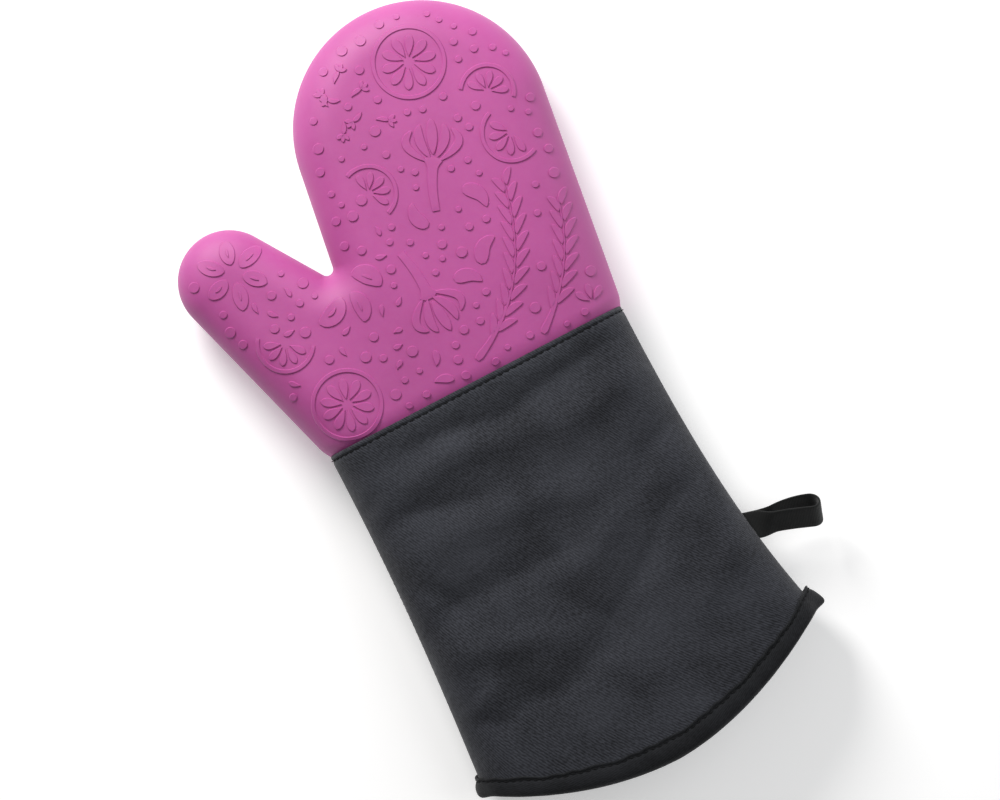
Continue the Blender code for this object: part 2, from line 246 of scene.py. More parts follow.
class Nodes:
    """Short ways to write a material's nodes."""

    def __init__(self, name):
        self.material = bpy.data.materials.new(name)
        self.material.use_nodes = True
        self.tree = self.material.node_tree
        self.shader = self.tree.nodes["Principled BSDF"]

    def add(self, kind, inputs=None, **settings):
        node = self.tree.nodes.new(kind)
        for key, value in settings.items():
            setattr(node, key, value)
        for key, value in (inputs or {}).items():
            self.put(node.inputs[key], value)
        return node

    def put(self, socket, value):
        if isinstance(value, bpy.types.NodeSocket):
            self.tree.links.new(value, socket)
        else:
            socket.default_value = value

    def maths(self, operation, first, second=0.0, third=0.0):
        inputs = {0: first, 1: second, 2: third}
        return self.add("ShaderNodeMath", inputs, operation=operation).outputs[0]

    def flat(self):
        """The piece's flat coordinates, as two outputs in metres."""
        source = self.add("ShaderNodeUVMap", uv_map="flat").outputs[0]
        split = self.add("ShaderNodeSeparateXYZ", {0: source})
        return split.outputs[0], split.outputs[1]

    def position(self):
        return self.add("ShaderNodeTexCoord").outputs["Object"]

    def noise(self, size, detail=3.0, roughness=0.55, where=None):
        inputs = {"Vector": where or self.position(), "Scale": 1 / size}
        inputs |= {"Detail": detail, "Roughness": roughness}
        return self.add("ShaderNodeTexNoise", inputs).outputs["Fac"]

    def stripes(self, across, along, angle, pitch, wobble=None, amount=0.0):
        """0 to 1 waves whose lines are pitch apart, with their normal at angle to across."""
        turn = 2 * math.pi / pitch
        first = self.maths("MULTIPLY", across, math.cos(angle) * turn)
        second = self.maths("MULTIPLY", along, math.sin(angle) * turn)
        phase = self.maths("ADD", first, second)
        if wobble is not None:
            phase = self.maths("ADD", phase, self.maths("MULTIPLY", wobble, amount))
        return self.maths("MULTIPLY_ADD", self.maths("SINE", phase), 0.5, 0.5)

    def streaks(self, across, along, angle, width, length):
        """Noise drawn out into short streaks that run at right angles to the angle from across."""
        flat = self.add("ShaderNodeCombineXYZ", {0: across, 1: along}).outputs[0]
        inputs = {"Vector": flat, "Angle": -angle}
        turn = self.add("ShaderNodeVectorRotate", inputs, rotation_type="Z_AXIS").outputs[0]
        inputs = {"Vector": turn, "Scale": (1, width / length, 1)}
        return self.noise(width, 2.0, 0.5, self.add("ShaderNodeMapping", inputs).outputs[0])

    def ramp(self, value, stops):
        node = self.add("ShaderNodeValToRGB", {"Fac": value})
        points = node.color_ramp.elements
        while len(points) < len(stops):
            points.new(0.5)
        for point, (position, colour) in zip(points, stops):
            point.position = position
            point.color = (*colour, 1)
        return node.outputs["Color"]

    def mix(self, share, first, second, kind="MIX"):
        node = self.add("ShaderNodeMix", data_type="RGBA", blend_type=kind)
        self.put(node.inputs["Factor"], share)
        for socket, value in ((node.inputs[6], first), (node.inputs[7], second)):
            self.put(socket, value if isinstance(value, bpy.types.NodeSocket) else (*value, 1))
        return node.outputs[2]

    def bump(self, height, depth, strength, under=None):
        inputs = {"Height": height, "Distance": depth, "Strength": strength}
        if under is not None:
            inputs["Normal"] = under
        return self.add("ShaderNodeBump", inputs).outputs["Normal"]

    def finish(self, colour, normal=None, roughness=0.8, **settings):
        self.put(self.shader.inputs["Base Color"], colour)
        self.put(self.shader.inputs["Roughness"], roughness)
        if normal is not None:
            self.put(self.shader.inputs["Normal"], normal)
        for key, value in settings.items():
            self.shader.inputs[key.replace("_", " ")].default_value = value
        return self.material


def shaded(colour, by):
    return tuple(value * by for value in colour)


def silicone_finish():
    nodes = Nodes("pink_silicone")
    pinks = [
        (0.3, (0.374, 0.043, 0.234)),
        (0.5, (0.403, 0.0475, 0.2535)),
        (0.72, (0.432, 0.054, 0.273)),
    ]
    colour = nodes.ramp(nodes.noise(0.045, 2.0), pinks)
    dust = nodes.noise(0.0035, 4.0, 0.7)
    colour = nodes.mix(nodes.maths("MULTIPLY", dust, 0.07), colour, (0.75, 0.42, 0.6))
    grain = nodes.noise(0.00045, 2.0)
    normal = nodes.bump(grain, 0.00005, 0.35)
    normal = nodes.bump(nodes.noise(0.012, 2.0), 0.0004, 0.2, normal)
    rough = nodes.maths("MULTIPLY_ADD", dust, 0.16, 0.53)
    settings = {"Specular_IOR_Level": 0.65, "Subsurface_Weight": 0.06, "Subsurface_Scale": 0.002}
    settings |= {"Sheen_Weight": 0.06, "Sheen_Roughness": 0.45}
    return nodes.finish(colour, normal, rough, **settings)


def weave(name, dark, light, pitch, lean, rumple, sheen=0.25):
    """A twill with broken diagonal ribs, rumpled by a depth in metres.

    The ribs are pitch metres apart, and their normal leans by lean degrees from the way round.
    """
    nodes = Nodes(name)
    across, along = nodes.flat()
    angle = math.radians(lean)
    wobble = nodes.noise(0.0022, 2.0)
    ribs = nodes.stripes(across, along, angle, pitch, wobble, 4.0)
    streaks = nodes.streaks(across, along, angle, pitch * 0.75, pitch * 1.9)
    height = nodes.maths("MULTIPLY_ADD", ribs, 0.24, nodes.maths("MULTIPLY", streaks, 0.76))
    patches = nodes.noise(0.034, 2.0, 0.5)
    colour = nodes.ramp(height, [(0.34, dark), (0.66, light)])
    # Painted light and painted shade: broad random patches lighten the cloth in some places and darken
    # it in others, standing in for the light and shade of soft folds.
    painted_light = nodes.maths("MAXIMUM", nodes.maths("MULTIPLY_ADD", patches, 1.0, -0.38), 0.0)
    colour = nodes.mix(painted_light, colour, shaded(light, 1.5))
    shade = nodes.maths("MAXIMUM", nodes.maths("MULTIPLY_ADD", patches, -1.4, 0.66), 0.0)
    colour = nodes.mix(shade, colour, dark)
    fuzz = nodes.noise(0.0009, 3.0, 0.8)
    colour = nodes.mix(nodes.maths("MULTIPLY", fuzz, 0.22), colour, shaded(dark, 0.5))
    normal = nodes.bump(nodes.noise(0.03, 3.0, 0.6), rumple, 1.0)
    normal = nodes.bump(height, 0.0003, 0.7, normal)
    normal = nodes.bump(fuzz, 0.0002, 0.25, normal)
    settings = {"Specular_IOR_Level": 0.2, "Sheen_Weight": sheen, "Sheen_Roughness": 0.5}
    return nodes.finish(colour, normal, 0.88, **settings)


def ribbed_tape(name, dark, light):
    """A tape with fine ribs straight across it and a firm selvedge."""
    nodes = Nodes(name)
    across, along = nodes.flat()
    ribs = nodes.stripes(across, along, math.pi / 2, 0.0007)
    warp = nodes.stripes(across, along, 0, 0.0005)
    height = nodes.maths("MULTIPLY", ribs, nodes.maths("POWER", warp, 0.4))
    fuzz = nodes.noise(0.0011, 3.0, 0.75)
    colour = nodes.ramp(height, [(0.05, dark), (0.8, light)])
    colour = nodes.mix(nodes.maths("MULTIPLY", fuzz, 0.3), colour, shaded(dark, 0.5))
    normal = nodes.bump(height, 0.00016, 0.5)
    settings = {"Specular_IOR_Level": 0.25, "Sheen_Weight": 0.2, "Sheen_Roughness": 0.5}
    return nodes.finish(colour, normal, 0.8, **settings)


def batting_finish():
    nodes = Nodes("white_batting")
    tufts = nodes.noise(0.003, 6.0, 0.75)
    colour = nodes.ramp(tufts, [(0.3, (0.62, 0.60, 0.56)), (0.7, (0.86, 0.85, 0.82))])
    normal = nodes.bump(tufts, 0.001, 0.8)
    return nodes.finish(colour, normal, 0.98, Sheen_Weight=0.4, Specular_IOR_Level=0.1)


def thread_finish():
    nodes = Nodes("dark_thread")
    across, along = nodes.flat()
    twist = nodes.stripes(across, along, math.radians(35), 0.00045)
    fuzz = nodes.noise(0.0005, 2.0)
    colour = nodes.ramp(twist, [(0.1, (0.002, 0.002, 0.0025)), (0.8, (0.008, 0.0083, 0.0095))])
    colour = nodes.mix(nodes.maths("MULTIPLY", fuzz, 0.3), colour, (0.012, 0.0125, 0.014))
    normal = nodes.bump(twist, 0.0001, 0.6)
    return nodes.finish(colour, normal, 0.75, Specular_IOR_Level=0.2)


def floor_finish():
    nodes = Nodes("pale_floor")
    cloudy = nodes.noise(0.6, 2.0)
    colour = nodes.ramp(cloudy, [(0.2, (0.90, 0.90, 0.90)), (0.8, (0.93, 0.93, 0.93))])
    settings = {"Specular_IOR_Level": 0.0, "Emission_Color": (1, 1, 1, 1), "Emission_Strength": 0.3}
    return nodes.finish(colour, None, 0.95, **settings)


SILICONE = silicone_finish()
TWILL = weave("charcoal_twill", (0.0095, 0.01, 0.013), (0.046, 0.0488, 0.06), 0.00105, -30, 0.002, 0.12)
BIAS = weave("black_bias_tape", (0.004, 0.0045, 0.0055), (0.014, 0.015, 0.018), 0.0009, 75, 0.001, 0.1)
LINING = weave("grey_lining", (0.11, 0.11, 0.12), (0.27, 0.27, 0.285), 0.0007, 45, 0.0008)
LOOP_TAPE = ribbed_tape("black_loop_tape", (0.0035, 0.004, 0.004), (0.011, 0.012, 0.012))
BATTING = batting_finish()
THREAD = thread_finish()


# Hand


def belt(circles, inset, spacing=SPACING):
    """Points round a belt of (x, y, radius) circles, moved in by inset.

    The same circles give the same number of points at every inset.
    """
    count = len(circles)
    headings = []
    for index, (x, y, radius) in enumerate(circles):
        next_x, next_y, next_radius = circles[(index + 1) % count]
        run = math.hypot(next_x - x, next_y - y)
        turn = math.asin((radius - next_radius) / run)
        headings.append(math.atan2(next_y - y, next_x - x) + turn)
    arcs = []
    for index, (x, y, radius) in enumerate(circles):
        sweep = (headings[index] - headings[index - 1]) % math.tau
        if radius < 0:
            sweep -= math.tau
        steps = max(2, math.ceil(abs(sweep) * max(abs(radius), LEAST_SWEEP_RADIUS) / spacing))
        angles = headings[index - 1] - math.pi / 2 + sweep * np.linspace(0, 1, steps + 1)
        reach = radius - inset
        arcs.append(np.stack([x + reach * np.cos(angles), y + reach * np.sin(angles)], 1))
    points = []
    for arc, following in zip(arcs, arcs[1:] + arcs[:1]):
        points.append(arc)
        run = following[0] - arc[-1]
        steps = max(1, math.ceil(round(float(np.hypot(*run)), 3) / spacing))
        shares = np.arange(1, steps)[:, None] / steps
        points.append(arc[-1] + run * shares)
    return np.concatenate(points)


def above_tuck(ring, guide):
    """The part of a ring above the tuck line, ending on it; guide is the outermost ring."""
    kept = np.flatnonzero(guide[:, 1] > TUCK)
    first, last = kept[0], kept[-1]
    ends = []
    for inside, outside in ((first, first - 1), (last, last + 1)):
        share = (TUCK - guide[inside, 1]) / (guide[outside, 1] - guide[inside, 1])
        end = ring[inside] + (ring[outside] - ring[inside]) * share
        end[1] = TUCK
        ends.append(end)
    return np.vstack([ends[0], ring[first : last + 1], ends[1]])


FINE_BELT = belt(HAND_BELT, 0, 0.7)
OUTLINE = above_tuck(FINE_BELT, FINE_BELT)


def edge_distance(points):
    """How far points lie inside the hand's outline."""
    found = np.empty(len(points))
    for start in range(0, len(points), 2000):
        some = points[start : start + 2000, None, :2]
        found[start : start + 2000] = lengths(some - OUTLINE[None]).min(1)
    return found


def half_height(v):
    return HALF_HEIGHT * (1 - TAPER * np.maximum(0, v - TAPER_START))


def crown(u, v):
    """How full the back of the hand is, with a faint unevenness."""
    full = CROWN
    for (middle_u, middle_v), (across, along), share in CROWN_PARTS:
        full = full + share * np.exp(-(((u - middle_u) / across) ** 2) - ((v - middle_v) / along) ** 2)
    return full + 0.006 * np.sin(u / 13 + 1.3 * np.sin(v / 21)) * np.sin(v / 17 + 0.7)


def under_cuff(v):
    """0 on the hand, rising to 1 where it runs in under the cuff."""
    return smooth_step((5 - v) / 8)


def hand_z(u, v, inside, is_back, depth=0.0):
    """Height of the hand's surface at points that lie inside the outline by given distances."""
    middle = half_height(v)
    round_off = SIDE_ROUND - depth
    share = 1 - np.clip(inside - depth, 0, round_off) / round_off
    rise = np.sqrt(np.clip(1 - share**2, 0, 1))
    if is_back:
        offset = (middle * crown(u, v) - depth) * rise
    else:
        offset = -(middle - RELIEF_ROOM - depth) * rise
    return middle + offset * (1 - WRIST_FLATTENING * under_cuff(v))


def pinch_u(u, v):
    """Draws the hand in at the wrist, so that the cuff passes over it."""
    return u - np.sign(u) * WRIST_PINCH * under_cuff(v)


def fill_ring(ring):
    """Evenly spaced triangles inside a ring: points, faces, and each point's number in the ring.

    A point that isn't in the ring has the number -1.
    """
    columns, rows = (np.arange(ring[:, axis].min(), ring[:, axis].max(), FILL_PITCH) for axis in (0, 1))
    across, along = np.meshgrid(columns, rows)
    across[::2] += FILL_PITCH / 2
    inner = np.stack([across.ravel(), along.ravel()], 1)
    gap = lengths(inner[:, None] - ring[None]).min(1)
    inner = inner[(gap > 0.7 * FILL_PITCH) & (inner[:, 1] > TUCK + 0.5 * FILL_PITCH)]
    together = [Vector(point) for point in np.vstack([ring, inner])]
    loop = [(index, (index + 1) % len(ring)) for index in range(len(ring))]
    filled = geometry.delaunay_2d_cdt(together, loop, [], 1, 1e-5)
    numbers = [group[0] if group and group[0] < len(ring) else -1 for group in filled[3]]
    return np.array([tuple(point) for point in filled[0]]), filled[2], numbers


def hand_surface(depth):
    """Points and faces of the hand, depth inside its outer surface, open at the tuck line."""
    guide = belt(HAND_BELT, depth)
    round_off = SIDE_ROUND - depth
    insides = [depth + round_off * (1 - math.cos(turn)) for turn in np.linspace(0, math.pi / 2, 11)]
    # Only the skin's own edge lies 0 inside the outline, and it stands out as the moulding line.
    rings = [above_tuck(belt(HAND_BELT, inside or -PARTING_LINE), guide) for inside in insides]
    width = len(rings[0])
    flat_points, flat_faces, in_ring = fill_ring(rings[-1])

    points, faces = [], []
    for is_back in (True, False):
        base = len(points)
        for inside, ring in zip(insides, rings):
            for u, v in ring:
                points.append((pinch_u(u, v), v, float(hand_z(u, v, inside, is_back, depth))))
        last_ring = base + (len(rings) - 1) * width
        numbers = []
        for number, (u, v) in zip(in_ring, flat_points):
            if number >= 0:
                numbers.append(last_ring + number)
                continue
            numbers.append(len(points))
            points.append((pinch_u(u, v), v, float(hand_z(u, v, SIDE_ROUND, is_back, depth))))
        faces += (grid_faces(len(rings), width, flip=is_back) + base).tolist()
        for face in flat_faces:
            face = [numbers[corner] for corner in face]
            faces.append(face if is_back else face[::-1])
    return np.array(points), faces


def weld(points, faces):
    """Merges points that coincide, and drops the faces that this closes up."""
    keys = np.round(np.asarray(points), 4)
    _, first, renumber = np.unique(keys, axis=0, return_index=True, return_inverse=True)
    renumber = renumber.ravel()
    kept = []
    for face in faces:
        corners = list(dict.fromkeys(int(renumber[corner]) for corner in face))
        if len(corners) > 2:
            kept.append(corners)
    return np.asarray(points)[first], kept


# Relief


class Relief:
    """Raised shapes, drawn flat as ribbons and laid on both faces of the hand."""

    def __init__(self):
        self.ribbons = []
        self.taken = []

    def ribbon(self, path, half, closed=False, lift=RELIEF):
        path = np.asarray(path, float)
        half = np.broadcast_to(np.asarray(half, float), len(path))
        self.ribbons.append((path, np.array(half), closed, lift))
        for (u, v), reach in zip(path, half):
            self.taken.append((u, v, reach))

    def disc(self, u, v, radius):
        end = 0.12  # where the ribbon starts, as an angle, so that it isn't a point
        along = -np.cos(np.linspace(end, math.pi - end, 13))
        path = np.stack([u + radius * along, np.full_like(along, v)], 1)
        self.ribbon(path, radius * np.sqrt(1 - along**2))

    def is_clear(self, u, v, reach):
        return all(math.hypot(u - x, v - y) > reach + r for x, y, r in self.taken)


def turned(points, angle, u, v):
    """Points turned by an angle and then moved to (u, v)."""
    points = np.asarray(points, float)
    cos, sin = math.cos(angle), math.sin(angle)
    x, y = points[:, 0], points[:, 1]
    return np.stack([u + x * cos - y * sin, v + x * sin + y * cos], 1)


def bowed(length, bow, steps=13):
    """A path along x that bows to one side."""
    share = np.linspace(0, 1, steps)
    return np.stack([length * share, bow * 4 * share * (1 - share)], 1)


def rounded(width, tip=0.5, steps=13):
    """Half widths of a leaf: fullest at the share tip, and rounded off at both ends."""
    share = np.linspace(0.012, 0.988, steps)
    bent = share ** (math.log(0.5) / math.log(tip))
    return width * np.sqrt(np.sin(math.pi * bent))


def leaf(relief, u, v, angle, length, width, bow=0.0, tip=0.5, lift=RELIEF):
    path = bowed(length, bow)
    relief.ribbon(turned(path, angle, u, v), rounded(width / 2, tip), lift=lift)


def citrus(relief, u, v, radius, turn=0.0, sweep=360.0):
    """A slice, or half a slice, with a flat rind and teardrop segments."""
    whole = sweep == 360
    middle = radius - RIND
    angles = np.radians(turn + np.linspace(0, sweep, 61))
    if whole:
        angles = angles[:-1]
    path = np.stack([u + middle * np.cos(angles), v + middle * np.sin(angles)], 1)
    relief.ribbon(path, RIND, whole)
    count = round(sweep / SEGMENT_SWEEP)
    for index in range(count):
        angle = math.radians(turn + sweep * (index + 0.5) / count)
        where = turned([(0.15 * radius, 0)], angle, u, v)[0]
        leaf(relief, *where, angle, 0.58 * radius, 0.26 * radius, tip=0.66)


def garlic(relief, u, v, angle, width, stem):
    """A bulb of cloves side by side over a flat stem; angle points from the neck to the bulb."""
    share = np.linspace(0, 1, 17)
    for number in range(-2, 3):
        away = abs(number)
        x = 2.5 - 1.6 * away + (0.55 - 0.03 * away) * width * share
        y = number * width * (0.045 + 0.16 * np.sin(share * (1.9 + 0.25 * away)))
        path = turned(np.stack([x, y], 1), angle, u, v)
        relief.ribbon(path, rounded(width * (0.09 - 0.01 * away), 0.55, 17))
    x = 1.2 - stem * share
    half = 1.9 + 0.7 * (1 - share) + 2.4 * np.exp(-((share / 0.12) ** 2))
    half[0] = 2.4
    relief.ribbon(turned(np.stack([x, 1.1 * np.sin(share * 3)], 1), angle, u, v), half)


def clove(relief, u, v, angle, size):
    path = turned(bowed(size, 0.22 * size) - (size / 2, 0.1 * size), angle, u, v)
    relief.ribbon(path, rounded(size * 0.27, 0.36))


def kernel(relief, u, v, angle, length, width):
    """A plump half moon, bulging to the left of its direction, with a small raised eye."""
    path = turned(bowed(length, 0.28 * width) - (length / 2, 0), angle, u, v)
    relief.ribbon(path, rounded(width / 2, 0.5))
    eye = turned([(-0.18 * length, 0.14 * width)], angle, u, v)[0]
    leaf(relief, *eye, angle, 0.36 * length, 0.2 * width, 0.4, lift=RELIEF + RELIEF_STEP)


def herb_sprig(relief, tip, bend, end):
    """A stem with pointed leaves on both sides, from its tip through a bend to its thick end."""
    share = np.linspace(0, 1, 40)[:, None]
    tip, bend, end = (np.array(point, float) for point in (tip, bend, end))
    path = tip * (1 - share) ** 2 + bend * 2 * share * (1 - share) + end * share**2
    half = 0.5 + 1.5 * share[:, 0] ** 4
    half[-1] *= 0.6
    relief.ribbon(path, half)
    along = distances(path)
    count = int(along[-1] * LEAFY_SHARE / LEAF_PITCH)
    for index in range(count):
        for side in (-1, 1):
            reach = LEAF_PITCH * (index + 0.75 + 0.2 * side)
            where = [np.interp(reach, along, path[:, axis]) for axis in (0, 1)]
            ahead = [np.interp(reach + 1, along, path[:, axis]) for axis in (0, 1)]
            back = math.atan2(where[1] - ahead[1], where[0] - ahead[0])
            angle = back + side * LEAF_LEAN
            root = turned([(0.4, side * 1.0)], back, *where)[0]
            length = LEAF_LENGTH + 1.8 * min(1, index / 2)
            leaf(relief, *root, angle, length, LEAF_WIDTH, -side * 1.0, 0.5)


def spice_bud(relief, u, v, angle):
    """A dried bud: a short plump stalk under a head of small points."""
    leaf(relief, u, v, angle, 5.8, 2.3, 0.5, 0.6)
    head = turned([(5.9, 0.1)], angle, u, v)[0]
    for lean in (-50, 0, 50):
        leaf(relief, *head, angle + math.radians(lean), 3.6, 2.2)


def rosette(relief, u, v, count, size):
    """A flower of broad petals, each with a small raised vein."""
    for index in range(count):
        angle = math.tau * index / count + 0.3
        reach = size * (0.62 if index % 2 else 0.7)
        where = turned([(0.24 * size, 0)], angle, u, v)[0]
        leaf(relief, *where, angle, reach, 0.4 * size, 0.5, 0.5)
        vein = turned([(0.24 * size + 0.3 * reach, 0.3)], angle, u, v)[0]
        leaf(relief, *vein, angle, 0.36 * reach, 0.09 * size, 0.2, lift=RELIEF + RELIEF_STEP)


def draw_relief():
    relief = Relief()
    for u, v, radius, turn in ((38, 140, 17, 8), (-57, 17, 16.4, 20)):
        citrus(relief, u, v, radius, turn)
    halves = (63, 112, 13, -38), (64, 91, 14, 111), (-5, 96, 13.3, -72), (-69, 54, 13.6, 142)
    for u, v, radius, turn in halves:
        citrus(relief, u, v, radius, turn, 186)
    garlic(relief, 27.5, 96, math.radians(66), 29, 24)
    garlic(relief, -2.5, 43, math.radians(-84), 28, 24)
    for u, v, lean, size in ((37, 73, -62, 13), (10, 77, 100, 12), (30, 50, 40, 13), (17, 42, -28, 12)):
        clove(relief, u, v, math.radians(lean), size)
    herb_sprig(relief, (51, 75), (43, 25), (3.5, 8))
    herb_sprig(relief, (69, 56), (62, 24), (35, 5))
    rosette(relief, -75.2, 92.5, 6, 18)
    kernels = (-24, 62.5, -48, 14, 9), (-44.5, 58, 204, 15, 9), (-33, 53.5, -91, 14, 8)
    for u, v, lean, length, width in kernels:
        kernel(relief, u, v, math.radians(lean), length, width)
    leaf(relief, -18, 8, math.radians(-20), 9, 4.2, 1.0, 0.6)
    leaf(relief, -14, 14, math.radians(70), 7, 3.6, -0.8, 0.6)
    for lean in (35, 80, 125):
        where = turned([(1.5, 0)], math.radians(lean), 61, 7)[0]
        leaf(relief, *where, math.radians(lean), 7, 3.4, 0.0, 0.62)
    buds = [(-3, 139, 96), (4, 147, 40), (8, 138, 12), (0, 130, 240)]
    for u, v, lean in buds + [(9, 130, 200), (13, 124, -32), (3, 139, 150)]:
        spice_bud(relief, u, v, math.radians(lean))
    chance = random.Random(RELIEF_SEED)
    scatter(relief, chance, 14, (-80, -8), (18, 84), seed_shape)
    scatter(relief, chance, 105, (-100, 85), (3, 166), dot_shape)
    return relief


def seed_shape(relief, chance, u, v):
    leaf(relief, u, v, chance.uniform(0, math.tau), chance.uniform(4.2, 5.6), 2.5, 0.3, 0.65)


def dot_shape(relief, chance, u, v):
    relief.disc(u, v, chance.choice((1.4, 1.6, 1.8, 2.1, 2.5)))


def scatter(relief, chance, count, across, along, shape):
    """Fills what is still empty with small shapes, clear of the others and of the hand's edge."""
    centres = np.array([(chance.uniform(*across), chance.uniform(*along)) for _ in range(count * 40)])
    inside = edge_distance(centres)
    closed = np.vstack([OUTLINE, OUTLINE[:1]])
    made = 0
    for (u, v), depth in zip(centres, inside):
        if made == count:
            return
        if depth < EDGE_MARGIN or not contains(closed, u, v) or not relief.is_clear(u, v, SCATTER_GAP):
            continue
        shape(relief, chance, u, v)
        made += 1


def contains(outline, u, v):
    """Whether a closed outline goes round (u, v)."""
    first, second = outline[:-1], outline[1:]
    spans = (first[:, 1] > v) != (second[:, 1] > v)
    first, second = first[spans], second[spans]
    slope = (v - first[:, 1]) / (second[:, 1] - first[:, 1])
    crossing = first[:, 0] + slope * (second[:, 0] - first[:, 0])
    return np.count_nonzero(crossing > u) % 2 == 1


def relief_mesh(relief, is_back):
    """The raised shapes as open-bottomed ribbons sunk a little into one face."""
    points, faces = [], []
    for path, half, closed, lift in relief.ribbons:
        if closed:
            ahead = np.roll(path, -1, 0) - np.roll(path, 1, 0)
        else:
            ahead = np.gradient(path, axis=0)
        ahead = unit(ahead)
        side = np.stack([-ahead[:, 1], ahead[:, 0]], 1)
        narrow = np.maximum(half - RELIEF_EDGE, half * 0.3)
        lanes = [(half, -RELIEF_ROOT), (half, RELIEF_FOOT), (narrow, lift)]
        lanes += [(-reach, rise) for reach, rise in lanes[::-1]]
        flat = np.stack([path + side * reach[:, None] for reach, _ in lanes], 1).reshape(-1, 2)
        lifts = np.tile([rise for _, rise in lanes], (len(path), 1))
        if not closed:
            lifts[[0, -1]] -= RELIEF_END_DROP
        lifts = lifts.ravel()
        height = hand_z(flat[:, 0], flat[:, 1], edge_distance(flat), is_back)
        lifted = height + (lifts if is_back else -lifts)
        base = len(points)
        points += np.column_stack([pinch_u(flat[:, 0], flat[:, 1]), flat[:, 1], lifted]).tolist()
        quads = grid_faces(len(path), len(lanes), flip=is_back)
        last = (len(path) - 1) * len(lanes)
        if closed:
            lane = np.arange(len(lanes) - 1)
            seam = np.stack([last + lane, lane, lane + 1, last + lane + 1], 1)
            quads = np.vstack([quads, seam[:, ::-1] if is_back else seam])
        else:
            ends = [list(range(len(lanes))), list(range(last, last + len(lanes)))[::-1]]
            faces += [[base + corner for corner in (end[::-1] if is_back else end)] for end in ends]
        faces += (quads + base).tolist()
    return np.array(points), faces


def silicone_hand():
    """One moulded shell: the skin and the inner wall, open under the cuff, and the skin's relief."""
    outer, outer_faces = hand_surface(0)
    inner, inner_faces = hand_surface(WALL)
    layers = [weld(outer, outer_faces), weld(inner, [face[::-1] for face in inner_faces])]
    relief = draw_relief()
    layers += [relief_mesh(relief, is_back) for is_back in (True, False)]
    faces = []
    base = 0
    for points, layer_faces in layers:
        faces += [[corner + base for corner in face] for face in layer_faces]
        base += len(points)
    made = make_piece("silicone_hand", np.vstack([points for points, _ in layers]), faces, SILICONE)
    made.data.set_sharp_from_angle(angle=math.radians(28))
    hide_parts("silicone_shell")


def quilt(first, second):
    """Height, from -0.4 to 0.6, of diamond puffs between stitched lines."""
    one = np.abs(np.sin(math.pi * (first + second) / QUILT_PITCH))
    two = np.abs(np.sin(math.pi * (first - second) / QUILT_PITCH))
    return (one * two) ** 0.4 - 0.4


def padding(name, points, faces, finish, coords, nodes):
    made = make_piece(name, points, faces, finish, coords)
    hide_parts(*nodes)


def hand_bag(name, depth, finish, quilting, *nodes):
    """A bag that follows the hand's inside, such as its lining or its padding."""
    points, faces = weld(*hand_surface(depth))
    middle = half_height(points[:, 1])
    puff = quilting * quilt(points[:, 0], points[:, 1])
    points[:, 2] += np.where(points[:, 2] > middle, -puff, puff)
    padding(name, points, faces, finish, points[:, :2], nodes)


# Cuff


def ring_stations(edge_steps, flat_steps):
    """Stations round the cuff's section from its right side: (share of the flat, edge angle)."""
    quarter = np.linspace(0, math.pi / 2, edge_steps + 1)
    across = np.linspace(1, -1, flat_steps + 1)[1:-1]
    half = [(1.0, angle) for angle in quarter]
    half += [(share, math.pi / 2) for share in across]
    half += [(-1.0, math.pi / 2 + angle) for angle in quarter]
    back = half[:-1]
    palm = [(-share, angle + math.pi) for share, angle in half[:-1]]
    return np.array(back + palm)


def cuff_point(stations, down, depth, past_hem=0.0):
    """Points of the cuff: down is 0 at the wrist and 1 at the hem, depth is below its surface."""
    share, angle = stations.T
    half_width = WRIST_HALF_WIDTH + (HEM_HALF_WIDTH - WRIST_HALF_WIDTH) * max(0, down) ** FLARE_POWER
    below_flange = max(0, down - FLANGE_SHARE) / (1 - FLANGE_SHARE)
    edge = HALF_HEIGHT + (HEM_ROUND - HALF_HEIGHT) * below_flange
    reach = edge - CUFF_INSET - depth
    u = (half_width - edge) * share + reach * np.cos(angle)
    across = u / (half_width - CUFF_INSET - depth)
    z = edge + reach * np.sin(angle) + BINDING_RISE * below_flange
    z = z + np.where(np.sin(angle) > 1e-9, HEM_DOME * below_flange * (1 - across**2), 0)
    length = SIDE_LENGTH + HEM_BOW * (1 - across**2) + THUMB_SIDE_DROP * np.maximum(0, -across) ** 2
    length = length - LOOP_SIDE_RISE * np.sin(math.pi * np.clip(across, 0, 1))
    centre = WRIST_CENTRE + (HEM_CENTRE - WRIST_CENTRE) * max(0, down) ** CENTRE_POWER
    return np.stack([centre + u, -down * length - past_hem, z], 1)


def girth(stations, down=0.5):
    """How far round the cuff each station is, and the whole way round."""
    ring = cuff_point(stations, down, 0)
    steps = lengths(np.roll(ring, -1, 0) - ring)
    return np.concatenate([[0], np.cumsum(steps)[:-1]]), steps.sum()


def side_dip(stations):
    """1 on the two side seams, falling to 0 a few millimetres away."""
    along, whole = girth(stations)
    past = along % (whole / 2)
    return np.exp(-((np.minimum(past, whole / 2 - past) / 1.8) ** 2))


# Soft folds of the cuff: (u, v, direction in degrees, half length, half width, height).
FOLDS = [
    (8, -16, 1, 58, 5.5, -2.8),
    (0, -29, -2, 60, 7, 2.2),
    (-46, -44, -12, 30, 6, -2.6),
    (42, -36, 14, 28, 7, 1.7),
    (56, -64, 40, 28, 8, -3.4),
    (-14, -60, -6, 46, 8, 2.2),
    (-32, -86, 6, 42, 8, -3.4),
    (20, -84, 26, 34, 7, 2.0),
    (28, -106, 30, 44, 8, -3.4),
    (-46, -112, -18, 32, 7, 2.2),
    (56, -126, 48, 26, 7, 1.8),
    (-24, -136, 12, 44, 7, -2.8),
    (66, -98, 70, 24, 5, -1.8),
    (-66, -72, -58, 26, 5, -1.8),
    (10, -62, 62, 22, 5, -1.6),
    (-8, -112, -52, 20, 5, -1.6),
    (-71, -139, -22, 13, 3.5, -1.6),
    (-67, -128, 12, 15, 4, 1.3),
    (-70, -30, 30, 13, 4, -1.4),
]


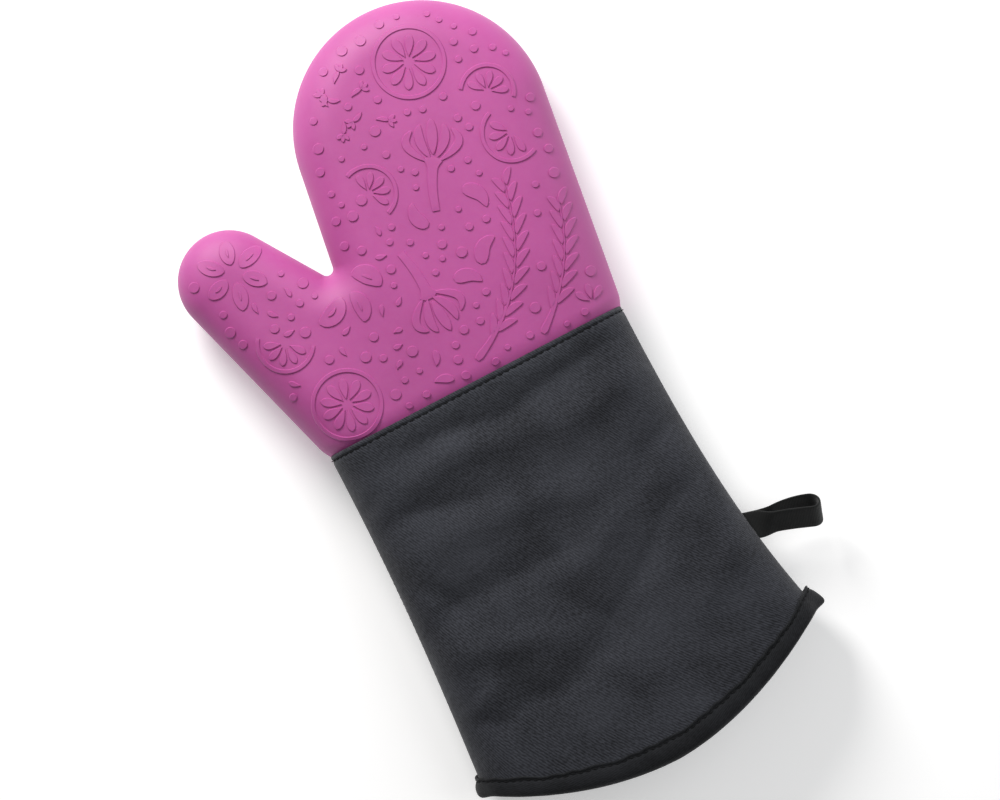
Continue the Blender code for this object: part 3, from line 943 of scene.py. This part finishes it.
def fold_height(points):
    """How far soft folds lift the cuff's layers on the back; they fade out at both seams."""
    height = np.zeros(len(points))
    x, y = points[:, 0], points[:, 1]
    for u, v, lean, half_length, half_width, rise in FOLDS:
        cos, sin = math.cos(math.radians(lean)), math.sin(math.radians(lean))
        along = (x - u) * cos + (y - v) * sin
        across = (y - v) * cos - (x - u) * sin
        across = across + 2.6 * np.sin(along / 15 + u) + 0.9 * np.sin(along / 6.3 + v)
        sharpness = 1.35 if rise < 0 else 2.0
        fade = -((along / half_length) ** 4) - np.abs(across / half_width) ** sharpness
        height += rise * np.exp(fade)
    above_hem = y + SIDE_LENGTH + HEM_BOW * (1 - (x / HEM_HALF_WIDTH) ** 2)
    return height * smooth_step((-y - 5) / 7) * smooth_step((above_hem - 9) / 10)


def cuff_fabric():
    """Outer cloth of the cuff: edge turned under at the wrist, and simulated into soft folds."""
    stations = ring_stations(9, 52)
    steps = round((CLOTH_END - CLOTH_START) / CLOTH_PITCH)
    free = np.linspace(CLOTH_START, CLOTH_END, steps + 1)
    profile = TURNED_EDGE + [(reach, CLOTH_DEPTH) for reach in free]
    rows = np.array([cuff_point(stations, reach / SIDE_LENGTH, depth) for reach, depth in profile])
    count, width = rows.shape[:2]
    pinned = np.array([reach < CLOTH_START or reach > CLOTH_END - 4 for reach, _ in profile])
    along, _ = girth(stations)
    points = rows.reshape(-1, 3).copy()
    points[:, 0] -= np.sign(points[:, 0]) * np.tile(side_dip(stations), count) * SEAM_DIP
    coords = np.stack([np.tile(along, count), points[:, 1]], 1)
    faces = grid_faces(count, width, closed=True)
    made = make_piece("cuff_fabric", points, faces, TWILL, coords, body=None)
    angle = np.tile(stations[:, 1], count)
    outward = np.stack([np.cos(angle), np.sin(angle)], 1)
    settled = crease(made, points, rows, pinned, outward)
    upward = np.repeat(~pinned, width) * np.maximum(outward[:, 1], 0)
    settled[:, 2] += upward * fold_height(points)
    made.data.vertices.foreach_set("co", place(settled).ravel())
    made.data.flip_normals()
    made.data.update()
    smooth(made, 1)
    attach(made, "mitt")
    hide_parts("cuff_fabric_back", "cuff_fabric_palm")


def crease(piece, points, rows, pinned, outward):
    """Lets the cloth, cut a little too long for its padding, buckle into soft folds."""
    width = rows.shape[1]
    group = piece.vertex_groups.new(name="sewn")
    for row in np.flatnonzero(pinned):
        group.add(list(range(row * width, (row + 1) * width)), 1.0, "REPLACE")
    longer = points.copy()
    seam = rows[len(TURNED_EDGE) - 1, 0, 1]
    below = np.minimum(0, longer[:, 1] - seam)
    longer[:, 1] = np.where(below < 0, seam + below * CLOTH_LENGTHENING, longer[:, 1])
    longer[:, 0] *= CLOTH_WIDENING
    piece.shape_key_add(name="Basis")
    cut = piece.shape_key_add(name="cut")
    cut.data.foreach_set("co", place(longer).astype(np.float32).ravel())
    cut.value = 0.0
    cloth = piece.modifiers.new("Cloth", "CLOTH")
    cloth.settings.rest_shape_key = cut
    cloth.settings.effector_weights.gravity = 0
    for setting, value in CLOTH_SETTINGS.items():
        setattr(cloth.settings, setting, value)
    cloth.point_cache.frame_end = CLOTH_FRAMES
    scene = bpy.context.scene
    for number in range(1, CLOTH_FRAMES + 1):
        scene.frame_set(number)
    evaluated = piece.evaluated_get(bpy.context.evaluated_depsgraph_get())
    moved = np.zeros(len(piece.data.vertices) * 3)
    evaluated.data.vertices.foreach_get("co", moved)
    moved = moved.reshape(-1, 3)
    piece.modifiers.clear()
    piece.shape_key_clear()
    scene.frame_set(1)
    shift = (moved - place(points)) / MM
    size = np.maximum(lengths(shift), 1e-9)
    shift *= (CLOTH_REACH * np.tanh(size / CLOTH_REACH) / size)[:, None]
    sunk = np.maximum(0, -(shift[:, ::2] * outward).sum(1) - CLOTH_SINK)
    shift[:, ::2] += outward * sunk[:, None]
    settled = points + shift
    settled[:, 2] = np.maximum(settled[:, 2], CLOTH_LOWEST)
    return settled


def smooth(piece, levels):
    """Subdivides a piece's mesh for good."""
    modifier = piece.modifiers.new("Subdivision", "SUBSURF")
    modifier.levels = levels
    modifier.render_levels = levels
    graph = bpy.context.evaluated_depsgraph_get()
    mesh = bpy.data.meshes.new_from_object(piece.evaluated_get(graph), depsgraph=graph)
    piece.modifiers.clear()
    piece.data = mesh
    mesh.shade_smooth()


def cuff_bag(name, depth, finish, quilting, *nodes):
    """A tube that follows the cuff's inside, such as its lining or its padding."""
    stations = ring_stations(8, 56)
    along, whole = girth(stations)
    along = along * QUILTS_ROUND * QUILT_PITCH / whole
    rows, coords = [], []
    upwards = np.maximum(np.sin(stations[:, 1]), 0)
    for distance in np.linspace(BAG_START, SIDE_LENGTH - 0.5, 60):
        puff = quilting * quilt(along, np.full_like(along, distance))
        row = cuff_point(stations, distance / SIDE_LENGTH, depth + puff)
        row[:, 2] += upwards * fold_height(row)
        rows.append(row)
        coords.append(np.stack([along, np.full_like(along, -distance)], 1))
    faces = grid_faces(len(rows), len(stations), closed=True, flip=True)
    padding(name, np.concatenate(rows), faces, finish, np.concatenate(coords), nodes)


# The folded tape, as (above the hem, depth), from its edge on the outside to its edge on the inside.
BINDING_PROFILE = [(7.9, 0.2), (8.8, -0.3), (9.0, -0.8), (8.6, -1.1), (8.1, -1.0), (7.6, -0.6)]
BINDING_PROFILE += [(7.2, -0.45), (6.8, -0.7), (6.2, -1.25), (5.0, -1.6), (3.4, -1.75), (1.6, -1.7)]
BINDING_PROFILE += [(0.2, -1.2), (-0.9, -0.1), (-1.5, 1.4), (-1.6, 3.0), (-1.3, 4.5), (-0.4, 5.6)]
BINDING_PROFILE += [(1.2, 6.2), (3.6, 6.4), (6.2, 6.1), (7.4, 6.2), (8.0, 5.8), (7.8, 5.2)]
BINDING_SAMPLE = 60  # the station where the tape's width is measured
HEM_STATIONS = ring_stations(14, 120)


def ear(stations):
    """Where the binding's ends are joined on the side seams: a small lump that stands out."""
    along, whole = girth(stations, 1.0)
    right = np.minimum(along, whole - along)
    left = np.abs(along - whole / 2)
    corner = 2.6 * np.exp(-((right / 4.6) ** 2)) + 1.2 * np.exp(-((right / 15) ** 2))
    return corner, 1.5 * np.exp(-((left / 6.5) ** 2))


def hem_point(stations, up, depth):
    """Points up millimetres above the hem, on a puffed binding that puckers and has its ears."""
    along, _ = girth(stations, 1.0)
    down = 1 - max(up, 0) / (SIDE_LENGTH + HEM_BOW / 2)
    middle = np.exp(-(((up - 3.5) / 3.6) ** 2))
    pucker = 0.3 * np.sin(along / 2.1 + 1.4 * np.sin(along / 9.0))
    puff = 0.35 + 0.3 * np.sin(along / 7.3 + 1.7 * np.sin(along / 17.0))
    ripple = np.sin(along / 1.9 + 1.6 * np.sin(along / 6.0)) + 0.8 * np.sin(along / 5.3)
    sway = 0.32 * ripple * smooth_step((up - 5.5) / 2.5)
    points = cuff_point(stations, down, depth - (pucker + puff) * middle, max(-up, 0))
    right, left = ear(stations)
    share = (1 - 0.5 * smooth_step(up / 9)) * (1 - smooth_step((depth + 0.5) / 3))
    points[:, 0] += (right - left) * share
    points[:, 1] += sway - (0.2 * right + 0.9 * left) * share
    points[:, 1] += 0.9 * right * share * smooth_step((up - 3) / 5)
    points[:, 2] = np.maximum(points[:, 2], 0.0)
    return points


def hem_binding():
    """The folded tape round the hem, as rings from its outer edge round the fold to its inner edge."""
    along, _ = girth(HEM_STATIONS, 1.0)
    rows = [hem_point(HEM_STATIONS, up, depth) for up, depth in BINDING_PROFILE]
    across = distances(np.array([row[BINDING_SAMPLE] for row in rows]))
    coords = [np.stack([along, np.full_like(along, -reach)], 1) for reach in across]
    faces = grid_faces(len(rows), len(HEM_STATIONS), closed=True, flip=True)
    made = make_piece("hem_tape", np.concatenate(rows), faces, BIAS, np.concatenate(coords))
    smooth(made, 1)
    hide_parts("hem_binding")


# Stitches


def stitches(name, node, path, outward, closed, length, gap):
    """Separate short stitches along a path, each arched and sunk into the cloth at its ends."""
    if closed:
        path = np.vstack([path, path[:1]])
        outward = np.vstack([outward, outward[:1]])
    along = distances(path)
    count = int(along[-1] // (length + gap))
    pitch = along[-1] / count
    chance = random.Random(len(name))
    points, faces, coords = [], [], []
    shares = np.linspace(0, 1, 7)
    sides = np.linspace(0, math.tau, 7)[:-1]
    arch = 0.42 * np.sin(math.pi * shares) - 0.22
    radii = THREAD_RADIUS * (0.55 + 0.45 * np.sqrt(np.sin(math.pi * np.clip(shares, 0.03, 0.97))))
    for index in range(count):
        start = pitch * index + chance.uniform(-0.12, 0.12)
        reach = np.clip(start + (pitch - gap) * shares, 0, along[-1])
        centre = np.stack([np.interp(reach, along, path[:, axis]) for axis in range(3)], 1)
        normal = unit(np.stack([np.interp(reach, along, outward[:, axis]) for axis in range(3)], 1))
        across = np.cross(unit(np.gradient(centre, axis=0)), normal)
        slant = chance.uniform(-0.16, 0.16)
        centre = centre + normal * arch[:, None] + across * (slant * (shares - 0.5) * 2)[:, None]
        base = len(points)
        for middle, up, over, radius, far in zip(centre, normal, across, radii, reach):
            for side in sides:
                points.append(middle + (up * math.cos(side) + over * math.sin(side)) * radius)
                coords.append((side * THREAD_RADIUS, far))
        rings = grid_faces(len(shares), len(sides), closed=True, flip=True).tolist()
        ends = end_faces(len(shares), len(sides), flip=True)
        faces += [[base + corner for corner in face] for face in rings + ends]
    made = make_piece(name, points, faces, THREAD, coords)
    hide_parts(node)


def ring_normals(points):
    """Directions out of a ring of points that lies across the glove's length."""
    ahead = np.roll(points, -1, 0) - np.roll(points, 1, 0)
    normal = unit(np.cross(ahead, np.array((0.0, 1.0, 0.0))))
    if ((points - points.mean(0)) * normal).sum() < 0:
        normal = -normal
    return normal


def seam_stitches():
    """The rows of stitches at the wrist and the hem, and down both side seams."""
    wrist = cuff_point(HEM_STATIONS, STITCH_DOWN / SIDE_LENGTH, 0.0)
    hem = hem_point(HEM_STATIONS, HEM_STITCH_UP, HEM_STITCH_DEPTH)
    for name, node, ring in (
        ("wrist_topstitch", "wrist_stitching", wrist),
        ("hem_topstitch", "hem_stitching", hem),
    ):
        ring[:, 2] = np.maximum(ring[:, 2], 0.5)
        stitches(name, node, ring, ring_normals(ring), True, 2.6, 0.8)
    downs = np.linspace(7, SIDE_LENGTH - 10, 60) / SIDE_LENGTH
    for name, node, side, angle in (
        ("loop_side_stitches", "loop_side_seam", 1.0, 0.0),
        ("thumb_side_stitches", "thumb_side_seam", -1.0, math.pi),
    ):
        station = np.array([(side, angle)])
        path = np.concatenate([cuff_point(station, down, 0.45) for down in downs])
        outward = np.tile((side, 0.0, 0.0), (len(path), 1))
        stitches(name, node, path, outward, False, 2.4, 1.0)


# Hanging loop


def hanging_loop():
    """A tape sewn into the side seam at both ends, its two strands fanned a little apart."""
    joint = next(joint for joint in frame["joints"] if joint["name"] == "loop_swing")
    hinge = (np.array(joint["pos_m"]) - ORIGIN) / MM
    reach = LOOP_LENGTH - LOOP_TIP
    out = np.linspace(LOOP_BURIED, reach, 34)
    spread = LOOP_ROOT + (LOOP_TIP - LOOP_ROOT) * smooth_step(out / reach) ** 0.6
    turn = np.linspace(math.pi / 2, -math.pi / 2, 15)[1:-1]
    far = np.concatenate([out, reach + LOOP_TIP * np.cos(turn), out[::-1]])
    rise = np.concatenate([spread, LOOP_TIP * np.sin(turn), -spread[::-1]])
    heading = np.array((math.cos(LOOP_LEAN), math.sin(LOOP_LEAN), 0.0))
    level = np.array((-math.sin(LOOP_LEAN), math.cos(LOOP_LEAN), 0.0))
    upright = np.array((0.0, 0.0, 1.0))
    roll = (LOOP_ROLL * smooth_step((far + 2) / 11))[:, None]
    apart = upright * np.cos(roll) - level * np.sin(roll)
    across = level * np.cos(roll) + upright * np.sin(roll)
    centre = hinge + heading * far[:, None] + apart * rise[:, None]
    centre += level * (1.6 * np.sin(far / 11) * smooth_step(far / 10) - 0.5)[:, None]
    normal = unit(np.cross(unit(np.gradient(centre, axis=0)), across))
    half, thin = LOOP_WIDTH / 2, LOOP_THICKNESS / 2
    left = [(-half, 0), (-half + 0.16, thin * 0.8), (-half + 1.0, thin), (-2.5, thin * 0.92)]
    section = left + [(0, thin * 0.88)] + [(-x, y) for x, y in left[:0:-1]]
    section += [(-x, -y) for x, y in section]
    points, coords = [], []
    for middle, over, up, distance in zip(centre, across, normal, distances(centre)):
        for x, y in section:
            points.append(middle + over * x + up * y)
            coords.append((x, distance))
    faces = grid_faces(len(centre), len(section), closed=True).tolist()
    faces += end_faces(len(centre), len(section))
    made = make_piece("loop_tape", points, faces, LOOP_TAPE, coords, body=None)
    smooth(made, 1)
    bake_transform(made)
    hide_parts("hanging_loop")


# Stage


def studio():
    """The camera over the glove, the floor, two soft lights and the plain white world."""
    scene = bpy.context.scene
    centre = place((*VIEW_CENTRE, SILHOUETTE_HEIGHT))
    data = bpy.data.cameras.new("camera")
    data.sensor_width = SENSOR_WIDTH
    data.lens = SENSOR_WIDTH * VIEW_DISTANCE / VIEW_WIDTH
    data.clip_end = 50
    camera = bpy.data.objects.new("camera", data)
    camera.location = centre + np.array((0, 0, VIEW_DISTANCE * MM))
    camera.rotation_euler = (0, 0, -VIEW_LEAN)
    scene.collection.objects.link(camera)
    scene.camera = camera

    corners = [(x * FLOOR_REACH, y * FLOOR_REACH, 0) for x, y in ((-1, -1), (1, -1), (1, 1), (-1, 1))]
    floor = make_piece("floor", corners, [(0, 1, 2, 3)], floor_finish(), body=None)
    floor.location.z = -ORIGIN[2]

    for name, bearing, reach, height, size, power, colour in LIGHTS:
        light = bpy.data.lights.new(name, "AREA")
        light.shape = "DISK"
        light.size = size
        light.energy = power
        light.color = colour
        lamp = bpy.data.objects.new(name, light)
        towards = math.radians(bearing) - VIEW_LEAN
        across, along = reach * math.cos(towards), reach * math.sin(towards)
        lamp.location = centre + np.array((across, along, height))
        aim = Vector(centre) - lamp.location
        lamp.rotation_euler = aim.to_track_quat("-Z", "Y").to_euler()
        scene.collection.objects.link(lamp)

    world = bpy.data.worlds.new("studio")
    world.use_nodes = True
    background = world.node_tree.nodes["Background"]
    background.inputs["Color"].default_value = (1, 1, 1, 1)
    background.inputs["Strength"].default_value = WORLD_STRENGTH
    scene.world = world
    scene.view_settings.view_transform = "Standard"


studio()
silicone_hand()
hand_bag("hand_padding", 2.9, BATTING, 0.3, "hand_batting_back", "hand_batting_palm")
hand_bag("hand_quilted_lining", 5.0, LINING, 1.2, "hand_lining_back", "hand_lining_palm")
cuff_fabric()
cuff_bag("cuff_padding", 1.6, BATTING, 0.3, "cuff_batting_back", "cuff_batting_palm")
cuff_bag("cuff_quilted_lining", 4.1, LINING, 1.1, "cuff_lining_back", "cuff_lining_palm")
hem_binding()
seam_stitches()
hanging_loop()
